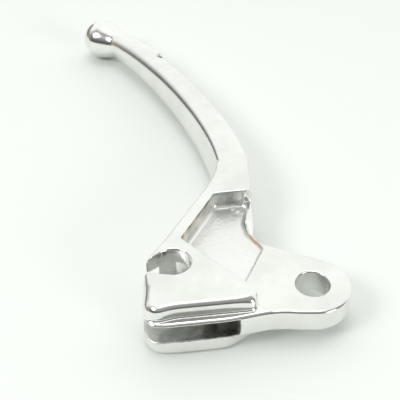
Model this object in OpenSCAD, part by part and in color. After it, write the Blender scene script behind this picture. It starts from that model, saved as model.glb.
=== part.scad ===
// Brake lever for a small motorbike, cast in one piece and polished.
// The origin is the middle of the pivot bore. X runs from the cable end to the pivot,
// Y runs from the pivot towards the ball end, and Z is the axis of the pivot bore.
// The casting is level about Z = 0, which is also the plane of the cable slot.

/* [Pivot arm] */
// Bore for the pivot bolt
pivot_d = 8; // [6:0.5:10]
// Outside radius of the eye around the bore
eye_r = 9; // [8:0.1:10]
// Thickness of the arm
arm_t = 6.3; // [5.5:0.1:7.5]
// Rounding of the arm's edges
arm_edge_r = 0.7; // [0.3:0.1:1]
// Edge break at the mouths of the two bores
bore_break = 0.3; // [0.1:0.1:0.5]

/* [Cable end] */
// Diameter of the barrel nipple that the lever pulls
nipple_d = 8; // [6:0.5:8.5]
// Clearance of the nipple in its hole, on the diameter
nipple_gap = 0.5; // [0.2:0.1:0.8]
// Distance from the pivot to the nipple, along X
nipple_x = 32.2; // [31.5:0.1:33]
// Distance from the pivot to the nipple, along Y
nipple_y = 3.6; // [2.8:0.1:4.2]
// Height of the cable slot
slot_h = 4.7; // [3:0.1:5]
// Length of the slot's front opening, from the open end
slot_len = 21.6; // [18:0.2:23]
// Wall left between the slot and the pocket
slot_wall = 1.6; // [1:0.1:3]
// Width of the gap from the nipple hole to the open end, at its mouth
neck_w = 3; // [2:0.1:4]

/* [Body] */
// Thickness of the casting at the pads, the rim and the knee
body_t = 13.5; // [12:0.1:15]
// Rounding of the pads' edges
pad_edge_r = 1.5; // [0.8:0.1:2]
// Thickness of the web at the bottom of the pockets
web_t = 3.4; // [2.5:0.1:4.5]
// Fillet where a pocket's walls meet its web
web_fillet = 0.9; // [0.4:0.1:1.2]

/* [Blade] */
// Width of the blade at the knee
blade_w = 10.4; // [9.5:0.1:11]
// Width of the blade half way along
blade_mid_w = 8.2; // [7:0.1:9]
// Width of the blade at the ball
blade_end_w = 7.6; // [6:0.1:8.5]
// Thickness of the blade at the ball
blade_end_t = 7.8; // [6:0.1:9]
// How far the finger side bulges, from its edge to its middle
finger_bulge = 2.2; // [1:0.1:3]
// Rounding of the blade's other edges
blade_edge_r = 1.5; // [0.8:0.1:2]
// Diameter of the ball on the end
ball_d = 13.5; // [12:0.1:15]
// Distance of the ball from the pivot, along X
ball_x = 62; // [55:0.5:68]
// Distance of the ball from the pivot, along Y
ball_y = 132; // [120:0.5:140]
// Depth of the dent in the blade's outer edge
dent_depth = 0.7; // [0.2:0.1:1]

/* [Hidden] */

over = 1;
corner_steps = 4;
blade_rings = 24;
crown = 0.1;

half_t = body_t / 2;
half_arm = arm_t / 2;
half_web = web_t / 2;
nipple_r = (nipple_d + nipple_gap) / 2;
nipple_at = [-nipple_x, nipple_y];
ball_at = [-ball_x, ball_y];

// Plan positions that several outlines share
end_x = -38.7;
knee_x = -12.5;
knee_y = 43.5;
front_y = -13.4;
pocket_low = [-30.6, 12];
pocket_tip = [-15.8, -2.8];
pocket_top = [-22.4, 29.4];

function unit(v) = v / norm(v);
function left_of(v) = unit([-v.y, v.x]);
function flat(c) = [c.x, c.y];
function after(list, i) = list[(i + 1) % len(list)];
function before(list, i) = list[(i + len(list) - 1) % len(list)];
function mix(a, b, t) = a + (b - a) * t;
function lift(points, z) = [for (p = points) [p.x, p.y, z]];

// Arc that rounds corner q between its neighbours p and s; q holds x, y and the radius
function rounded_corner(p, q, s) =
    let (
        u = unit(flat(p) - flat(q)),
        v = unit(flat(s) - flat(q)),
        half = acos(u * v) / 2,
        r = q[2],
        centre = flat(q) + unit(u + v) * r / sin(half),
        first = flat(q) + u * r / tan(half) - centre,
        way = cross(flat(q) - flat(p), flat(s) - flat(q)) > 0 ? 1 : -1,
        turn = way * (180 - 2 * half),
        from = atan2(first.y, first.x)
    )
    [for (i = [0:corner_steps]) let (a = from + turn * i / corner_steps) centre + r * [cos(a), sin(a)]];

// Closed outline, counterclockwise, through corners that hold x, y and a radius
function outline(corners) =
    [for (i = [0:len(corners) - 1]) each rounded_corner(before(corners, i), corners[i], after(corners, i))];

// The same corners with every side moved inwards by d
function inset(corners, d) =
    [for (i = [0:len(corners) - 1])
        let (
            a = flat(corners[i]) - flat(before(corners, i)),
            b = flat(after(corners, i)) - flat(corners[i]),
            na = left_of(a),
            nb = left_of(b),
            moved = flat(corners[i]) + (na + nb) * d / (1 + na * nb)
        )
        [moved.x, moved.y, cross(a, b) > 0 ? max(corners[i][2] - d, 0.05) : corners[i][2] + d]];

// Solid between rings of equal length, with both ends closed
module loft(rings) {
    n = len(rings[0]);
    last = len(rings) - 1;
    polyhedron(
        points = [for (ring = rings) each ring],
        faces = concat(
            [[for (i = [0:n - 1]) i]],
            [[for (i = [n - 1:-1:0]) last * n + i]],
            [for (k = [0:last - 1]) for (i = [0:n - 1])
                let (j = (i + 1) % n)
                each [[k * n + i, k * n + n + i, k * n + j], [k * n + j, k * n + n + i, k * n + n + j]]]
        ),
        convexity = 8
    );
}

// Angles round the quarter circle of an edge of radius r, which a sharp edge doesn't have
function edge_angles(r) = r > 0 ? [for (k = [0:ceil(2 * r)]) 90 * k / ceil(2 * r)] : [90];
function reversed(list) = [for (i = [len(list) - 1:-1:0]) list[i]];

// Slab between two heights whose bottom and top edges are rounded by low_r and high_r
module soft_slab(corners, low, high, low_r, high_r) {
    loft(concat(
        [for (a = edge_angles(low_r))
            lift(outline(inset(corners, low_r * (1 - sin(a)))), low + low_r * (1 - cos(a)))],
        [for (a = reversed(edge_angles(high_r)))
            lift(outline(inset(corners, high_r * (1 - sin(a)))), high - high_r * (1 - cos(a)))]
    ));
}

// Corner of two tangents to the eye, at angles a and b, which its radius rounds into the eye's own circle
function eye_corner(a, b) =
    let (far = eye_r / cos((b - a) / 2), mid = (a + b) / 2)
    [far * cos(mid), far * sin(mid), eye_r];

// Flat arm with the eye, the front lip and the narrow rim beside the pocket
module arm() {
    corners = [
        [end_x, front_y, 3.5], [-33, -13.3, 6], [-19.4, -11.5, 30], [-8.5, -8.7, 20],
        [-4, -eye_r - 0.1, 8], eye_corner(-92, -40), eye_corner(-40, 15), eye_corner(15, 67),
        [-11.9, 14.8, 3.6], [-13, 20, 14],
        [knee_x - 0.1, 35, 2], [-24, 35, 2], [-36, 8, 2], [end_x + 1, -2, 2]
    ];
    soft_slab(corners, -half_arm, half_arm, arm_edge_r, arm_edge_r);
}

// Full-height knee, rim and pads; the pad on top stands back from the lip, and the one below is flush
function body_corners(front) = concat(
    [[knee_x, knee_y, 2], [-20.9, knee_y, 2], [-21.2, 40, 5], [-38.9, 3.2, 2.4], [end_x, -1.2, 2.2]],
    front,
    [[-12.6, -4, 1.9], [-14.2, 6, 3], [knee_x, 20, 8]]
);

module body() {
    soft_slab(body_corners([[end_x, front_y, 3.4], [-31.5, -10.9, 15], [-13.3, -8.5, 1.9]]),
              0, half_t, 0, pad_edge_r);
    soft_slab(body_corners([[end_x, front_y, 5], [-30.3, -12.9, 12], [-19.5, -11.4, 6], [-13.3, -7.2, 2]]),
              -half_t, 0, pad_edge_r, 0);
}

// Centre line of the blade, a cubic curve from the knee to the ball
blade_line = [[-17.2, 42], [-19.8, 74.5], [-52.5, 129], ball_at];

function between(points, t) = [for (i = [0:len(points) - 2]) mix(points[i], points[i + 1], t)];
function line_at(t) = between(between(between(blade_line, t), t), t)[0];
function line_side(t) = let (ends = between(between(blade_line, t), t)) -left_of(ends[1] - ends[0]);
function width_at(t) = t < 0.5 ? mix(blade_w, blade_mid_w, 2 * t) : mix(blade_mid_w, blade_end_w, 2 * t - 1);

// Section of the blade: flat top and bottom, rounded outer edges, bulging finger side
function blade_section(w, t) =
    let (r = blade_edge_r, h = t / 2)
    concat(
        [for (i = [0:3]) let (a = 90 * i / 3) [w / 2 - r + r * cos(a), h - r + r * sin(a)]],
        [[0, h + crown]],
        [for (i = [0:10]) let (a = 90 + 180 * i / 10)
            [-w / 2 + finger_bulge + finger_bulge * cos(a), h * sin(a)]],
        [[0, -h - crown]],
        [for (i = [0:3]) let (a = 270 + 90 * i / 3) [w / 2 - r + r * cos(a), -h + r + r * sin(a)]]
    );

module blade() {
    loft([for (i = [blade_rings:-1:0])
        let (t = 0.97 * i / blade_rings, at = line_at(t), side = line_side(t))
        [for (p = blade_section(width_at(t), mix(body_t - 2 * crown - 0.1, blade_end_t, t)))
            [at.x + side.x * p.x, at.y + side.y * p.x, p.y]]]);
}

module ball() {
    translate([ball_at.x, ball_at.y, 0])
        sphere(d = ball_d, $fn = 40);
}

// Pocket above the web, and the room above the arm beside it
module pocket() {
    corners = [
        [pocket_low.x, pocket_low.y, 1], [pocket_tip.x, pocket_tip.y, 0.9], [-15.4, 0.6, 1],
        [-10.6, 12.3, 1.2], [-14.2, 17.8, 4], [-14.9, 22, 5], [-14.1, 26, 3], [-14, 30.7, 1],
        [pocket_top.x, pocket_top.y, 1.4]
    ];
    soft_slab(corners, half_web, half_t + over, web_fillet, 0);
    translate([0, 0, half_arm])
        linear_extrude(half_t)
            polygon([pocket_tip + [-1, 1.3], pocket_tip + [6, -6.2], [20, -20], [20, 32.2], [-12, 31.1], [-17, 29.9]]);
}

module cable_slot() {
    inward = unit([-1, -1]) * slot_wall;
    translate([0, 0, -slot_h / 2])
        linear_extrude(slot_h)
            polygon([[end_x - over, front_y - over], [end_x + slot_len, front_y - over], [end_x + slot_len, -5],
                     pocket_low + inward + [0, -1], [end_x - over, 8]]);
}

// Gap that lets the cable into the nipple hole from the open end, through the upper pad
module neck_gap() {
    linear_extrude(half_t + over)
        polygon([[end_x - over, nipple_y - nipple_r + 0.5], nipple_at + [0, -nipple_r],
                 nipple_at + nipple_r * [cos(130), sin(130)], [end_x - over, nipple_y - nipple_r + 0.5 + neck_w]]);
}

// Dent in the blade's outer edge
module dent() {
    t = 0.6;
    r = 1.3;
    at = line_at(t) + line_side(t) * (width_at(t) / 2 + r - dent_depth);
    translate([at.x, at.y, mix(body_t, blade_end_t, t) / 2 - 0.7])
        sphere(r = r, $fn = 32);
}

// The cast shape without its bores, joined into one mesh at its own size
module casting() {
    resize([0, 0, 0])
        difference() {
            union() {
                arm();
                body();
                blade();
            }
            pocket();
            mirror([0, 0, 1])
                pocket();
            cable_slot();
            neck_gap();
        }
}

// Drilled hole of radius r through a wall of half height h, with both mouths broken
module drilled(r, h) {
    rotate_extrude($fn = 96)
        polygon([[0, -h - over], [r + bore_break, -h - over], [r + bore_break, -h], [r, -h + bore_break],
                 [r, h - bore_break], [r + bore_break, h], [r + bore_break, h + over], [0, h + over]]);
}

module lever() {
    color("silver")
        difference() {
            union() {
                casting();
                ball();
            }
            drilled(pivot_d / 2, half_arm);
            translate([nipple_at.x, nipple_at.y, 0])
                drilled(nipple_r, half_t);
            dent();
        }
}

lever();
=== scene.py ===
# Brake lever for a small motorbike: one aluminium casting, polished outside and rough in its recesses.
# Sizes are millimetres until the mesh is made, which is in metres like the CAD frame.
import math

import bpy
import numpy as np
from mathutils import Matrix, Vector


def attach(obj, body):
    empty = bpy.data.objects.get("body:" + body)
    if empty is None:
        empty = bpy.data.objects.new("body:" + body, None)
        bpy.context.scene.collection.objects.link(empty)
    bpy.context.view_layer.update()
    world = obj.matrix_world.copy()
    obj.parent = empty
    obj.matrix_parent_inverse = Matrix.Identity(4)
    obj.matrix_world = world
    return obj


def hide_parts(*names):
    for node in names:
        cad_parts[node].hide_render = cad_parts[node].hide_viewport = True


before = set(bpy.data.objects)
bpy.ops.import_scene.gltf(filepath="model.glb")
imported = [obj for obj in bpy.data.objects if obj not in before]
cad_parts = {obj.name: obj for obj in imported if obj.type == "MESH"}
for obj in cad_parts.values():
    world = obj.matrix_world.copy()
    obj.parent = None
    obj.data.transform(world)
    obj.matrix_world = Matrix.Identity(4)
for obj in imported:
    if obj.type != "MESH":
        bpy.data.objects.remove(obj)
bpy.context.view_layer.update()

scene = bpy.context.scene
print("frame loaded")

# Sizes of the lever
lever = {
    "pivotRadius": 4.0,      # for an 8 mm bolt
    "eyeRadius": 9.0,
    "armHalf": 3.15,
    "armEdge": 0.95,
    "bodyHalf": 6.75,
    "padEdge": 1.5,
    "mouthEdge": 0.45,
    "rimEdge": 0.5,
    "wornEdge": 1.0,         # how much rounder the upper pad's ends are polished
    "wornTip": (-13, -7, 10),
    "nippleRadius": 4.25,
    "nippleX": -32.2,
    "nippleY": 3.6,
    "rimReach": 6.3,
    "slotHalf": 2.35,
    "slotEdge": 0.4,
    "slotFillet": 0.25,
    "webHalf": 1.7,
    "webFillet": 1.0,
    "pocketEdge": 0.4,
    "reliefFillet": 0.4,
    "lipFillet": 0.5,
    "bladeLine": ((-17.2, 42.0), (-19.8, 74.5), (-52.5, 129.0), (-62.0, 132.0)),
    "bladeWidths": (10.4, 8.2, 7.6),
    "bladeThickness": (13.2, 7.8),
    "bladeEdge": 1.5,
    "bladeCrown": 0.1,
    "fingerBulges": (2.2, 3.6),  # how deep the rounded finger side is, at the knee and at the ball
    "kneeFillet": 2.5,
    "ballRadius": 6.75,
    "neckFillet": 3.2,
    "dentRadius": 1.9,
    "dentAt": 0.59,          # its place along the blade, from 0 at the knee to 1 at the ball
    "dentOut": 0.15,
    "dentDown": 0.1,
    "dentEdge": 0.15,
    "dentRaise": 0.8,        # how far the back edge steps out past the dent
    "raiseStart": 0.006,
    "raiseEnd": 0.3,
    "raiseFade": 0.28,
    "castLump": 0.22,
    "lumpPlaces": (          # x, y, z and size
        (-15.6, 29.6, 2.2, 1.1), (-14.9, 27.6, 2.3, 0.9), (-17.4, 29.2, 1.9, 0.8), (-16.2, 28.3, 1.7, 0.6),
        (-33.2, -11.6, 2.3, 0.9), (-26.0, -10.8, -2.4, 0.8), (-29.5, -10.2, 2.4, 0.7),
    ),
    "padOverlap": 0.6,
    "bodyArea": ((-46, -20), (14, 52)),
    "bodyGrid": 0.2,
    "bladeArea": ((-74, 24), (0, 144)),
    "bladeGrid": 0.4,
    "meshStep": 0.44,
    "mouthStep": 0.25,
    "bladeStep": 0.75,
}

# places that several outlines share
endX, kneeX, kneeY, frontY = -38.7, -12.5, 43.5, -13.4
pocketLow, pocketTip, pocketTop = (-30.6, 12.0), (-15.8, -2.8), (-22.4, 29.4)


def eyeCorner(a, b):  # two tangents to the eye meet here, and its own radius rounds them
    far = lever["eyeRadius"] / math.cos(math.radians((b - a) / 2))
    mid = math.radians((a + b) / 2)
    return far * math.cos(mid), far * math.sin(mid), lever["eyeRadius"]


# each corner is x, y and its rounding
armCorners = [
    (endX, frontY, 3.5), (-33, -13.3, 6), (-19.4, -11.5, 30), (-8.5, -8.7, 20), (-4, -9.1, 8),
    eyeCorner(-92, -40), eyeCorner(-40, 15), eyeCorner(15, 67), (-11.9, 14.8, 3.6), (-13, 20, 14),
    (kneeX - 0.1, 35, 2), (-24, 35, 2), (-36, 8, 2), (endX + 1, -2, 2),
]
bodyBack = [(kneeX, kneeY, 2), (-20.9, kneeY, 2), (-21.2, 40, 5), (-38.9, 3.2, 2.4), (endX, -1.2, 2.2)]
bodyFront = [(-12.6, -4, 1.9), (-14.2, 6, 3), (kneeX, 20, 8)]
upperEnd = [(endX, frontY, 3.4), (-31.5, -10.9, 15), (-13.3, -8.5, 1.9)]
lowerEnd = [(endX, frontY, 5), (-30.3, -12.9, 12), (-19.5, -11.4, 6), (-13.3, -7.2, 2)]
upperCorners = bodyBack + upperEnd + bodyFront
lowerCorners = bodyBack + lowerEnd + bodyFront
pocketCorners = [
    pocketLow + (1,), pocketTip + (0.9,), (-15.4, 0.6, 1), (-10.6, 12.3, 1.2), (-14.2, 17.8, 4),
    (-14.9, 22, 5), (-14.1, 26, 3), (-14, 30.7, 1), pocketTop + (1.4,),
]
reliefCorners = [  # the pocket's open side, where the pads stop at the arm's own level
    (pocketTip[0] - 1, pocketTip[1] + 1.3, 0.1), (pocketTip[0] + 6, pocketTip[1] - 6.2, 0.1),
    (20, -20, 0.1), (20, 32.2, 0.1), (-12, 31.1, 0.1), (-17, 29.9, 0.1),
]
slotCorners = [
    (endX - 1, frontY - 1, 0.1), (endX + 21.6, frontY - 1, 0.1), (endX + 21.6, -5, 0.6),
    (pocketLow[0] - 1.13, pocketLow[1] - 2.13, 0.6), (endX - 1, 8, 0.1),
]
neckCorners = [  # the narrow gap beside the nipple's hole
    (endX - 1, -0.15, 0.1), (lever["nippleX"], -0.65, 0.1), (-34.93, 6.86, 0.1), (endX - 1, 2.85, 0.1),
]


# Outlines and distances
def roundedOutline(corners, steps=8):
    points = []
    for i, corner in enumerate(corners):
        following = corners[(i + 1) % len(corners)]
        p, q, s = (np.array(c[:2], float) for c in (corners[i - 1], corner, following))
        u = (p - q) / np.linalg.norm(p - q)
        v = (s - q) / np.linalg.norm(s - q)
        half = math.acos(float(u @ v)) / 2
        centre = q + (u + v) / np.linalg.norm(u + v) * corner[2] / math.sin(half)
        first = q + u * corner[2] / math.tan(half) - centre
        way = 1 if (q - p)[0] * (s - q)[1] - (q - p)[1] * (s - q)[0] > 0 else -1
        start = math.atan2(first[1], first[0])
        for k in range(steps + 1):
            a = start + way * (math.pi - 2 * half) * k / steps
            points.append(centre + corner[2] * np.array((math.cos(a), math.sin(a))))
    return np.array(points)


class Field:  # a plan-view grid of values that can be read anywhere between its nodes
    def __init__(self, low, high, step):
        self.low, self.step = low, step
        self.xs = np.arange(low[0], high[0], step)
        self.ys = np.arange(low[1], high[1], step)
        self.x, self.y = np.meshgrid(self.xs, self.ys, indexing="ij")

    def keep(self, values):
        self.values = values
        return self

    def at(self, x, y):
        i = np.clip((x - self.low[0]) / self.step, 0, len(self.xs) - 1.001)
        j = np.clip((y - self.low[1]) / self.step, 0, len(self.ys) - 1.001)
        i0, j0 = i.astype(int), j.astype(int)
        a, b = i - i0, j - j0
        v = self.values
        return ((v[i0, j0] * (1 - a) + v[i0 + 1, j0] * a) * (1 - b)
                + (v[i0, j0 + 1] * (1 - a) + v[i0 + 1, j0 + 1] * a) * b)


def outlineField(corners):  # signed distance to the outline, negative inside
    field = Field(*lever["bodyArea"], lever["bodyGrid"])
    points = roundedOutline(corners)
    near = np.full(field.x.shape, 1e9)
    inside = np.zeros(field.x.shape, bool)
    for p, q in zip(points, np.roll(points, -1, 0)):
        d = q - p
        size = float(d @ d)
        if size < 1e-12:
            continue
        t = np.clip(((field.x - p[0]) * d[0] + (field.y - p[1]) * d[1]) / size, 0, 1)
        near = np.minimum(near, (field.x - p[0] - t * d[0]) ** 2 + (field.y - p[1] - t * d[1]) ** 2)
        if p[1] != q[1]:
            crosses = (p[1] > field.y) != (q[1] > field.y)
            inside ^= crosses & (field.x < p[0] + d[0] * (field.y - p[1]) / d[1])
    return field.keep(np.where(inside, -1, 1) * np.sqrt(near))


def linePoint(t):
    a, b, c, d = (np.array(p) for p in lever["bladeLine"])
    return a * (1 - t) ** 3 + 3 * b * t * (1 - t) ** 2 + 3 * c * t * t * (1 - t) + d * t ** 3


bladeStops = np.linspace(-0.14, 1, 97)  # from inside the knee, so that the two join without a step
bladePoints = np.array([linePoint(t) for t in bladeStops])
bladeArc = np.concatenate([[0], np.cumsum(np.hypot(*np.diff(bladePoints, axis=0).T))])


def bladeFields():  # offset from the blade's middle line, and the distance along it
    grids = [Field(*lever["bladeArea"], lever["bladeGrid"]) for i in range(2)]
    x, y = grids[0].x, grids[0].y
    best = np.full(x.shape, 1e9)
    side, along = np.zeros(x.shape), np.zeros(x.shape)
    last = len(bladePoints) - 2
    for i in range(last + 1):
        p, d = bladePoints[i], bladePoints[i + 1] - bladePoints[i]
        size = math.sqrt(float(d @ d))
        d = d / size
        raw = (x - p[0]) * d[0] + (y - p[1]) * d[1]
        t = np.clip(raw, 0, size)
        gap = (x - p[0] - t * d[0]) ** 2 + (y - p[1] - t * d[1]) ** 2
        closer = gap < best
        best = np.where(closer, gap, best)
        side = np.where(closer, (x - p[0]) * d[1] - (y - p[1]) * d[0], side)
        run = t
        if i == 0:
            run = np.minimum(raw, size)
        if i == last:
            run = np.maximum(raw, 0)
        along = np.where(closer, bladeArc[i] + run, along)
    return grids[0].keep(side), grids[1].keep(along)


def meet(a, b, r):  # the solid inside both, with a rounded edge of radius r
    corner = np.hypot(np.maximum(a + r, 0), np.maximum(b + r, 0))
    return np.minimum(np.maximum(a + r, b + r), 0) + corner - r


def join(a, b, r):  # the solid inside either, with a fillet of radius r
    return -meet(-a, -b, r)


def ramp(value, start, width):  # 0 up to start, 1 from start + width; a negative width runs the other way
    return np.clip((value - start) / width, 0, 1)


def spot(x, y, place):  # 1 at the place's x and y, fading with its third number
    return np.exp(-((x - place[0]) ** 2 + (y - place[1]) ** 2) / place[2])


fields = {name: outlineField(corners) for name, corners in (
    ("arm", armCorners), ("upper", upperCorners), ("lower", lowerCorners), ("pocket", pocketCorners),
    ("relief", reliefCorners), ("slot", slotCorners), ("neck", neckCorners))}
bladeSide, bladeAlong = bladeFields()
print("outlines measured")


def bladeWidth(t):
    a, b, c = lever["bladeWidths"]
    return np.where(t < 0.5, a + (b - a) * 2 * t, b + (c - b) * (2 * t - 1))


def bladeShape(x, y, z):
    s, run = bladeSide.at(x, y), bladeAlong.at(x, y)
    t = np.interp(run, bladeArc, bladeStops)
    thick = lever["bladeThickness"]
    h = (thick[0] + (thick[1] - thick[0]) * np.clip(t, 0, 1)) / 2
    w = bladeWidth(t) / 2
    r = lever["bladeEdge"]
    crown = lever["bladeCrown"] * np.clip(1 - (s / w) ** 2, 0, 1)
    pastDent = ramp(t, lever["dentAt"], lever["raiseStart"])
    pastDent = pastDent * ramp(t, lever["dentAt"] + lever["raiseEnd"], -lever["raiseFade"])
    back = s - w - lever["dentRaise"] * pastDent
    back = np.maximum(back, x - kneeX)  # flush with the body's wall at the knee
    outer = meet(np.abs(z) - h - crown, back, r)
    a, b = lever["fingerBulges"]
    bulge = a + (b - a) * np.clip(t, 0, 1)
    u, v = (s + w - bulge) / bulge, z / (h + crown)
    q = np.sqrt(u * u + v * v) + 1e-9
    finger = (q - 1) * q / np.sqrt((u / bulge) ** 2 + (v / h) ** 2 + 1e-9)
    shape = np.where(s < bulge - w, finger, outer)
    return np.maximum(shape, np.maximum(-run, run - bladeArc[-1]))


def ballShape(x, y, z):
    bx, by = lever["bladeLine"][3]
    return np.sqrt((x - bx) ** 2 + (y - by) ** 2 + z * z) - lever["ballRadius"]


def boreGap(x, y, z):
    pivot = np.hypot(x, y) - lever["pivotRadius"]
    nipple = np.hypot(x - lever["nippleX"], y - lever["nippleY"]) - lever["nippleRadius"]
    return np.minimum(pivot, nipple)


def pocketGap(x, y, z):
    high = np.abs(z)
    pocket = meet(fields["pocket"].at(x, y), lever["webHalf"] - high, lever["webFillet"])
    relief = meet(fields["relief"].at(x, y), lever["armHalf"] - high, lever["reliefFillet"])
    return np.minimum(pocket, relief)


def slotGap(x, y, z):
    return meet(fields["slot"].at(x, y), np.abs(z) - lever["slotHalf"], lever["slotFillet"])


def dentGap(x, y, z):  # the knock in the blade's back edge
    at = linePoint(lever["dentAt"])
    ahead = linePoint(lever["dentAt"] + 0.001) - at
    ahead = ahead / np.linalg.norm(ahead)
    reach = float(bladeWidth(lever["dentAt"])) / 2 + lever["dentOut"]
    thick = lever["bladeThickness"]
    top = (thick[0] + (thick[1] - thick[0]) * lever["dentAt"]) / 2 - lever["dentDown"]
    dx, dy = at[0] + ahead[1] * reach, at[1] - ahead[0] * reach
    return np.sqrt((x - dx) ** 2 + (y - dy) ** 2 + (z - top) ** 2) - lever["dentRadius"]


def castLumps(x, y, z):  # small lumps that the mould left in the pocket's corner and the slot
    lumps = 0
    for px, py, pz, size in lever["lumpPlaces"]:
        lumps = lumps + np.exp(-((x - px) ** 2 + (y - py) ** 2 + (z - pz) ** 2) / (size * size))
    return lever["castLump"] * lumps


# Rough skin in the recesses, and the painted reflection and painted shade on their walls
skinAndPaintedLight = {
    "skinReach": 0.45,                 # how far from a recess's surface the rough skin is drawn
    "wallReach": 0.35,
    "slotReach": 0.3,
    "dentReach": 0.12,
    "polishedRim": 0.3,                # the mouth of the pocket is polished this far down
    "brownReflectionSpot": (-12.3, 15.2, 8.0),   # x, y and spread of the painted brown reflection on the right wall
    # x, y and spread of painted shade on the right wall's upper part
    "darkSpot": (-14.6, 22.0, 9.0),
    "darkSpotDepth": 0.9,
    # painted brown reflection in a band on the left wall's upper part
    "brownReflectionLeft": 0.4,
    "darkLeft": (0.35, 0.6),           # painted shade all over the left wall, and more in a line along its top
    # painted shade on the pocket's top wall
    "darkTop": 0.45,
    "darkSlot": (0.3, 0.5),            # painted shade all over the slot, and more towards its inner end
    # how much darker the inside of the dent is drawn
    "darkDent": 0.55,
}


def castMask(x, y, z):  # 1 in the recesses that were left as cast
    high = np.abs(z)
    walls = fields["pocket"].at(x, y) < skinAndPaintedLight["wallReach"]
    walls = walls & (high < lever["bodyHalf"] - skinAndPaintedLight["polishedRim"])
    inSlot = (fields["slot"].at(x, y) < skinAndPaintedLight["slotReach"]) & (high < lever["slotHalf"] + 0.25)
    nearest = np.minimum(pocketGap(x, y, z), slotGap(x, y, z))
    recess = (nearest < skinAndPaintedLight["skinReach"]) & (walls | inSlot)
    return np.where(recess | (dentGap(x, y, z) < skinAndPaintedLight["dentReach"]), 1.0, 0.0)


def wallMasks(x, y, z):  # painted brown reflection, then painted shade, on the pocket's walls and in the slot; the dent is drawn darker inside too
    wall = ramp(fields["pocket"].at(x, y), -1.0, 0.6) * ramp(np.abs(z), 1.9, 0.8)
    left = np.clip(1.2 - np.abs((x - pocketLow[0]) * 0.905 - (y - pocketLow[1]) * 0.426) / 0.9, 0, 1)
    # painted brown reflection: a spot on the right wall and a band on the left wall
    brown = wall * spot(x, y, skinAndPaintedLight["brownReflectionSpot"])
    brown = brown + wall * skinAndPaintedLight["brownReflectionLeft"] * left * ramp(y, 31, -10) * ramp(z, 3.0, 2.0)
    # painted shade: the right wall's upper part, the top wall, the left wall and the slot
    dark = wall * skinAndPaintedLight["darkSpotDepth"] * spot(x, y, skinAndPaintedLight["darkSpot"])
    dark = dark + wall * skinAndPaintedLight["darkTop"] * ramp(y, 29.2, 0.8)
    allOver, line = skinAndPaintedLight["darkLeft"]
    dark = dark + wall * left * (allOver + line * ramp(z, 5.7, 0.5))
    inSlot = (fields["slot"].at(x, y) < skinAndPaintedLight["slotReach"]) & (np.abs(z) < lever["slotHalf"] + 0.2) & (y < 2)
    allOver, innerEnd = skinAndPaintedLight["darkSlot"]
    dark = dark + inSlot * (allOver + innerEnd * ramp(x, -27, 6))
    # darker inside the dent
    dark = dark + skinAndPaintedLight["darkDent"] * (dentGap(x, y, z) < skinAndPaintedLight["dentReach"])
    return np.clip(brown, 0, 1), np.clip(dark, 0, 1)


def leverShape(x, y, z):  # signed distance to the whole lever, negative inside
    half, edge, overlap = lever["bodyHalf"], lever["padEdge"], lever["padOverlap"]
    fromNipple = np.hypot(x - lever["nippleX"], y - lever["nippleY"])
    nearNipple = np.exp(-(fromNipple / lever["rimReach"]) ** 4)
    edge = edge + (lever["rimEdge"] - edge) * nearNipple  # the thin rim can't take the full rounding
    leftEnd = ramp(x, -35.2, -2) * ramp(y, -1, -3)
    upperEdge = edge + lever["wornEdge"] * np.maximum(leftEnd, spot(x, y, lever["wornTip"]))
    upper = np.maximum(meet(fields["upper"].at(x, y), z - half, upperEdge), -z - overlap)
    lower = np.maximum(meet(fields["lower"].at(x, y), -z - half, edge), z - overlap)
    body = np.minimum(upper, lower)
    arm = meet(fields["arm"].at(x, y), np.abs(z) - lever["armHalf"], lever["armEdge"])
    # a fillet only where the pads rise from the arm, because it would swell the walls that they share
    rise = np.maximum(ramp(np.abs(z) - lever["armHalf"], -0.4, 0.5), 0.02)
    shape = join(body, arm, lever["lipFillet"] * rise)
    blade = join(bladeShape(x, y, z), ballShape(x, y, z), lever["neckFillet"])
    fingerSide = np.maximum(ramp(x, -17, -3), 0.02)
    shape = join(shape, blade, lever["kneeFillet"] * fingerSide)
    shape = np.maximum(shape, np.abs(z) - half)
    shape = meet(shape, -pocketGap(x, y, z), lever["pocketEdge"])
    shape = meet(shape, -slotGap(x, y, z), lever["slotEdge"])
    neck = np.maximum(fields["neck"].at(x, y), -z)
    shape = meet(shape, -neck, lever["rimEdge"] * 0.6)
    shape = meet(shape, -boreGap(x, y, z), lever["mouthEdge"])
    shape = meet(shape, -dentGap(x, y, z), lever["dentEdge"])
    return shape - castLumps(x, y, z) * (np.abs(z) < 3)


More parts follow.
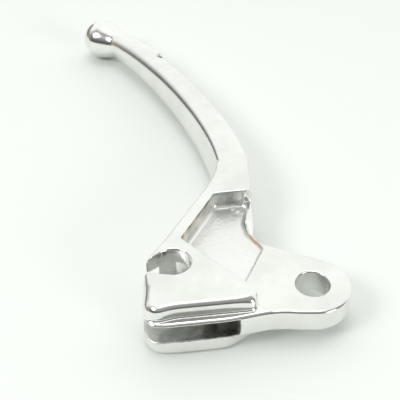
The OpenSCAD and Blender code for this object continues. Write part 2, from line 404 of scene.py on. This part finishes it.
# Mesh of the shape
def surfaceNet(axes):  # one corner in each cell that the surface crosses, one quad for each crossed edge
    x, y, z = np.meshgrid(*axes, indexing="ij", sparse=True)
    x, y = np.broadcast_arrays(x, y)
    layers = [leverShape(x, y, z[:, :, k:k + 1]) for k in range(len(axes[2]))]
    values = np.concatenate(layers, axis=2)
    corners = [(i, j, k) for i in (0, 1) for j in (0, 1) for k in (0, 1)]
    size = [n - 1 for n in values.shape]
    inside = np.zeros(size, np.int8)
    for i, j, k in corners:
        inside += values[i:i + size[0], j:j + size[1], k:k + size[2]] < 0
    cells = np.argwhere((inside > 0) & (inside < 8))
    number = np.full(size, -1, np.int32)
    number[tuple(cells.T)] = np.arange(len(cells))
    total, count = np.zeros((len(cells), 3)), np.zeros(len(cells))
    for a in corners:
        for axis in range(3):
            if a[axis]:
                continue
            b = list(a)
            b[axis] = 1
            va = values[tuple((cells + a).T)]
            vb = values[tuple((cells + b).T)]
            crossed = (va < 0) != (vb < 0)
            t = np.where(crossed, va / np.where(crossed, va - vb, 1), 0)
            point = cells + np.array(a, float)
            point[:, axis] += t
            total += point * crossed[:, None]
            count += crossed
    mean = total / count[:, None]
    verts = np.stack([np.interp(mean[:, i], np.arange(len(axes[i])), axes[i]) for i in range(3)], 1)
    quads = []
    for axis in range(3):
        u, v = (axis + 1) % 3, (axis + 2) % 3
        first = [slice(0, n) for n in values.shape]
        second = list(first)
        first[axis], second[axis] = slice(0, -1), slice(1, None)
        va, vb = values[tuple(first)], values[tuple(second)]
        edges = np.argwhere((va < 0) != (vb < 0))
        turned = va[tuple(edges.T)] > 0
        ring = []
        for du, dv in ((0, 0), (-1, 0), (-1, -1), (0, -1)):
            cell = edges.copy()
            cell[:, u] += du
            cell[:, v] += dv
            ring.append(number[tuple(cell.T)])
        ring = np.stack(ring, 1)
        ring[turned] = ring[turned][:, ::-1]
        quads.append(ring)
    return verts, np.concatenate(quads)


def settle(verts, quads):  # evens the net out, then puts every corner on the true surface
    first, second = np.concatenate([quads[:, [k, (k + 1) % 4]] for k in range(4)]).T
    total = len(verts)
    count = np.bincount(first, minlength=total) + np.bincount(second, minlength=total)
    reach = 0.04
    for turn in range(6):
        if turn < 3:
            sums = [np.bincount(first, verts[second, i], total) + np.bincount(second, verts[first, i], total)
                    for i in range(3)]
            mean = np.stack([axisSum / count for axisSum in sums], 1)
            verts = verts + (mean - verts) * 0.5
        for again in range(2):
            value = leverShape(*verts.T)
            slope = [leverShape(*(verts + move).T) - value for move in np.eye(3) * reach]
            slope = np.stack(slope, 1) / reach
            size = np.maximum((slope ** 2).sum(1), 0.2)
            verts = verts - np.clip(value / size, -0.3, 0.3)[:, None] * slope
    return verts


def shapeNormals(verts):  # the way the shape's own surface faces at each corner
    slope = [leverShape(*(verts + move).T) - leverShape(*(verts - move).T) for move in np.eye(3) * 0.1]
    slope = np.stack(slope, 1)
    return slope / np.linalg.norm(slope, axis=1, keepdims=True)


def cuts(*stops):  # grid lines from each stop to the next, spaced by the stop's second number
    parts = []
    for (a, gap), (b, _) in zip(stops, stops[1:]):
        parts.append(np.linspace(a, b, max(2, round((b - a) / gap) + 1))[:-1])
    return np.concatenate(parts + [[stops[-1][0]]])


def makeCasting():
    step, long = lever["meshStep"], lever["bladeStep"]  # longer cells along the plain blade
    fine = lever["mouthStep"]  # shorter cells through the bores and at the heights of the edges
    across = cuts((-70.2, 0.5), (-39.6, step), (-38.4, fine), (-27.4, step), (-5, fine),
                  (5, step), (10.6, 0))
    along = cuts((-14.9, fine), (8.6, step), (46, long), (106, 0.5), (140.5, 0))
    up = cuts((-8.1, step), (-7.0, fine), (-5.2, step), (-3.5, fine), (-1.5, 0.6),
              (1.5, fine), (3.5, step), (5.2, fine), (7.0, step), (8.1, 0))
    verts, quads = surfaceNet([across, along, up])
    verts = settle(verts, quads)
    mesh = bpy.data.meshes.new("leverCasting")
    mesh.from_pydata((verts / 1000).tolist(), [], quads.tolist())
    mesh.polygons.foreach_set("use_smooth", [True] * len(mesh.polygons))
    mask = mesh.attributes.new("asCast", "FLOAT", "POINT")
    mask.data.foreach_set("value", castMask(*verts.T).astype(np.float32))
    for name, values in zip(("paintedReflection", "shade"), wallMasks(*verts.T)):
        film = mesh.attributes.new(name, "FLOAT", "POINT")
        film.data.foreach_set("value", values.astype(np.float32))
    mesh.normals_split_custom_set_from_vertices(shapeNormals(verts).tolist())
    mesh.update()
    piece = bpy.data.objects.new("leverCasting", mesh)
    scene.collection.objects.link(piece)
    print("casting made,", len(quads), "faces")
    return piece


# Materials
def linear(colour):  # sRGB hex to linear
    channels = [int(colour[i:i + 2], 16) / 255 for i in (1, 3, 5)]
    return tuple(c / 12.92 if c <= 0.04045 else ((c + 0.055) / 1.055) ** 2.4 for c in channels) + (1,)


def addNode(tree, kind, settings=None, inputs=None):
    node = tree.nodes.new(kind)
    for key, value in (settings or {}).items():
        setattr(node, key, value)
    for key, value in (inputs or {}).items():
        if isinstance(value, bpy.types.NodeSocket):
            tree.links.new(value, node.inputs[key])
        else:
            node.inputs[key].default_value = value
    return node


aluminium = {
    "polished": "#f4f4f1",
    "polishedDull": "#e9e9e6",
    "asCast": "#f1f2ef",
    # brown of a warm reflection, painted onto the pocket's walls
    "paintedReflection": "#c08a50",
    "shade": "#4d4a45",
    "polishedRough": 0.15,
    "castRough": 0.3,
    # pattern scales are cells to a metre, so 1000 over the size in millimetres
    "grain": 900.0,      # 1.1 mm, coarser than real cast grain so that it shows
    "cloud": 300.0,      # 3.3 mm, blotches in the films
    "worn": 75.0,        # 13 mm, patches where the polish has gone dull
    "scratch": 260.0,    # 3.8 mm, the length of a polishing mark
    "scratchStretch": 14.0,  # times as long as wide, so a mark is 0.3 mm wide
    "scratchTurn": 0.4,
    "bumpHeight": 0.0003,
}


# polished cast aluminium: bright and slightly soft, dull and grainy where it was left as cast
def castAluminium():
    material = bpy.data.materials.new("polishedCastAluminium")
    material.use_nodes = True
    tree = material.node_tree
    shader = tree.nodes["Principled BSDF"]
    place = addNode(tree, "ShaderNodeTexCoord").outputs["Object"]
    masks = {name: addNode(tree, "ShaderNodeAttribute", {"attribute_name": name}).outputs["Fac"]
             for name in ("asCast", "paintedReflection", "shade")}
    stretch = addNode(tree, "ShaderNodeMapping", {}, {
        "Vector": place, "Rotation": (0.0, 0.0, aluminium["scratchTurn"]),
        "Scale": (aluminium["scratchStretch"], 1.0, 1.0)}).outputs["Vector"]
    noises = {}
    for name, vector, detail, roughness in (
            ("cloud", place, 4.0, 0.5), ("grain", place, 5.0, 0.65),
            ("worn", place, 5.0, 0.6), ("scratch", stretch, 3.0, 0.5)):
        noises[name] = addNode(tree, "ShaderNodeTexNoise", {}, {
            "Vector": vector, "Scale": aluminium[name], "Detail": detail,
            "Roughness": roughness}).outputs["Fac"]

    # colour: the polish goes dull in places, and the recesses get a painted brown reflection and painted
    # shade, with the dent darker inside
    dull = addNode(tree, "ShaderNodeMapRange", {}, {
        "Value": noises["worn"], "From Min": 0.4, "From Max": 0.65}).outputs[0]
    polish = addNode(tree, "ShaderNodeMix", {"data_type": "RGBA"}, {
        "Factor": dull, 6: linear(aluminium["polished"]), 7: linear(aluminium["polishedDull"])}).outputs[2]
    patchy = addNode(tree, "ShaderNodeMapRange", {}, {
        "Value": noises["cloud"], "From Min": 0.35, "From Max": 0.6,
        "To Min": 0.6, "To Max": 1.0}).outputs[0]
    # painted brown reflection, in blotches
    paintedReflectionShare = addNode(tree, "ShaderNodeMath", {"operation": "MULTIPLY"}, {
        0: masks["paintedReflection"], 1: patchy}).outputs[0]
    recess = addNode(tree, "ShaderNodeMix", {"data_type": "RGBA"}, {
        "Factor": paintedReflectionShare, 6: linear(aluminium["asCast"]), 7: linear(aluminium["paintedReflection"])}).outputs[2]
    mottle = addNode(tree, "ShaderNodeMapRange", {}, {
        "Value": noises["cloud"], "From Min": 0.4, "From Max": 0.58,
        "To Min": 0.15, "To Max": 1.0}).outputs[0]
    # painted shade, mottled
    shaded = addNode(tree, "ShaderNodeMath", {"operation": "MULTIPLY"}, {
        0: masks["shade"], 1: mottle}).outputs[0]
    darkened = addNode(tree, "ShaderNodeMix", {"data_type": "RGBA"}, {
        "Factor": shaded, 6: recess, 7: linear(aluminium["shade"])}).outputs[2]
    colour = addNode(tree, "ShaderNodeMix", {"data_type": "RGBA"}, {
        "Factor": masks["asCast"], 6: polish, 7: darkened}).outputs[2]

    # gloss and grain: fine polishing marks outside, a rough skin in the recesses
    smooth = addNode(tree, "ShaderNodeMapRange", {}, {
        "Value": noises["scratch"], "To Min": aluminium["polishedRough"] - 0.04,
        "To Max": aluminium["polishedRough"] + 0.06}).outputs[0]
    rough = addNode(tree, "ShaderNodeMix", {}, {
        "Factor": masks["asCast"], "A": smooth, "B": aluminium["castRough"]}).outputs[0]
    depth = addNode(tree, "ShaderNodeMapRange", {}, {
        "Value": masks["asCast"], "To Min": 0.02, "To Max": 0.6}).outputs[0]
    bump = addNode(tree, "ShaderNodeBump", {}, {
        "Height": noises["grain"], "Strength": depth, "Distance": aluminium["bumpHeight"]}).outputs["Normal"]

    shader.inputs["Metallic"].default_value = 1.0
    tree.links.new(colour, shader.inputs["Base Color"])
    tree.links.new(rough, shader.inputs["Roughness"])
    tree.links.new(bump, shader.inputs["Normal"])
    return material


# The piece
casting = makeCasting()
casting.data.materials.append(castAluminium())
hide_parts("lever")
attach(casting, "root")

# Studio, in metres
studio = {
    "floor": "#f6faf6",
    "floorHalf": 2.0,
    "floorRough": 0.5,
    "floorSpecular": 0.2,
    "backdrop": "#fdfffc",
    "worldLight": 1.07,
    "room": 0.36,        # light of the darker room on the camera's side
    "skirting": 0.05,    # the same low down
    "warm": "#f0cfb4",
    "warmSide": 0.42,
    # how the world's light changes with direction: the axis, where a fade starts and ends, its strength
    "fades": {
        "front": ("Y", 0.28, -0.15, 1.0),
        "low": ("Z", 0.985, 0.88, 1.0),
        "left": ("X", -0.25, -0.55, 0.92),
        "nearTable": ("Z", 0.6, 0.08, 1.0),
        "farLeft": ("X", -0.9, -1.0, 1.0),
        "glow": ("Z", 0.6, 0.3, 1.0),
    },
    # name, azimuth, elevation, distance, width, height and watts
    "lamps": (
        ("overhead", 20, 82, 1.0, 0.5, 0.4, 1.0),
        ("windowLeft", -120, 41, 1.2, 0.5, 0.5, 4.4),
        ("windowRight", 133, 16, 1.2, 0.45, 0.35, 3.08),
    ),
    "lampAim": (-0.026, 0.045, 0.0),
    "lens": 67.5,
    "cameraPlace": (-0.025934, -0.124141, 0.124437),
    "lookDown": 38,
}


def makeFloor():
    half = studio["floorHalf"]
    level = -lever["bodyHalf"] / 1000
    corners = [(x * half, y * half, level) for x, y in ((-1, -1), (1, -1), (1, 1), (-1, 1))]
    mesh = bpy.data.meshes.new("floor")
    mesh.from_pydata(corners, [], [(0, 1, 2, 3)])
    floor = bpy.data.objects.new("floor", mesh)
    scene.collection.objects.link(floor)
    material = bpy.data.materials.new("whiteTable")  # painted board: white, with a slight sheen
    material.use_nodes = True
    shader = material.node_tree.nodes["Principled BSDF"]
    shader.inputs["Base Color"].default_value = linear(studio["floor"])
    shader.inputs["Roughness"].default_value = studio["floorRough"]
    shader.inputs["Specular IOR Level"].default_value = studio["floorSpecular"]
    mesh.materials.append(material)


def makeWorld():  # a white backdrop behind and above, and the darker room on the camera's side
    world = bpy.data.worlds.new("studio")
    scene.world = world
    world.use_nodes = True
    tree = world.node_tree
    toward = addNode(tree, "ShaderNodeTexCoord").outputs["Generated"]
    axes = addNode(tree, "ShaderNodeSeparateXYZ", {}, {"Vector": toward}).outputs
    soft = {"interpolation_type": "SMOOTHSTEP"}
    fades = {}
    for name, (axis, start, end, strength) in studio["fades"].items():
        fades[name] = addNode(tree, "ShaderNodeMapRange", soft, {
            "Value": axes[axis], "From Min": start, "From Max": end, "To Max": strength}).outputs[0]
    frontDark = addNode(tree, "ShaderNodeMath", {"operation": "MULTIPLY"}, {
        0: fades["front"], 1: fades["low"]}).outputs[0]
    leftDark = addNode(tree, "ShaderNodeMath", {"operation": "MULTIPLY"}, {
        0: fades["left"], 1: fades["nearTable"]}).outputs[0]
    dark = addNode(tree, "ShaderNodeMath", {"operation": "MAXIMUM"}, {0: frontDark, 1: leftDark}).outputs[0]
    warm = addNode(tree, "ShaderNodeMath", {"operation": "MULTIPLY"}, {
        0: fades["farLeft"], 1: fades["glow"]}).outputs[0]
    room = addNode(tree, "ShaderNodeMapRange", soft, {
        "Value": axes["Z"], "From Min": 0.0, "From Max": 0.75, "To Min": studio["skirting"],
        "To Max": studio["room"]}).outputs[0]
    room = addNode(tree, "ShaderNodeMix", {}, {
        "Factor": warm, "A": room, "B": studio["warmSide"]}).outputs[0]
    light = addNode(tree, "ShaderNodeMix", {}, {
        "Factor": dark, "A": studio["worldLight"], "B": room}).outputs[0]
    tint = addNode(tree, "ShaderNodeMix", {"data_type": "RGBA"}, {
        "Factor": warm, 6: linear(studio["backdrop"]), 7: linear(studio["warm"])}).outputs[2]
    background = tree.nodes["Background"]
    tree.links.new(tint, background.inputs["Color"])
    tree.links.new(light, background.inputs["Strength"])


def addSoftbox(name, azimuth, elevation, distance, width, height, power):
    a, e = math.radians(azimuth), math.radians(elevation)
    way = np.array((math.sin(a) * math.cos(e), math.cos(a) * math.cos(e), math.sin(e)))
    data = bpy.data.lights.new(name, "AREA")
    data.shape = "ELLIPSE"
    data.size, data.size_y = width, height
    data.energy = power
    lamp = bpy.data.objects.new(name, data)
    scene.collection.objects.link(lamp)
    lamp.location = np.array(studio["lampAim"]) + way * distance
    lamp.rotation_euler = Vector(way).to_track_quat("Z", "Y").to_euler()


def makeCamera():
    data = bpy.data.cameras.new("camera")
    data.lens, data.sensor_width = studio["lens"], 36.0
    data.clip_start, data.clip_end = 0.01, 20
    camera = bpy.data.objects.new("camera", data)
    scene.collection.objects.link(camera)
    camera.location = studio["cameraPlace"]
    camera.rotation_euler = (math.radians(90 - studio["lookDown"]), 0, 0)
    scene.camera = camera


makeCamera()
makeFloor()
makeWorld()
for lamp in studio["lamps"]:
    addSoftbox(*lamp)
scene.view_settings.view_transform = "Standard"
print("studio made")
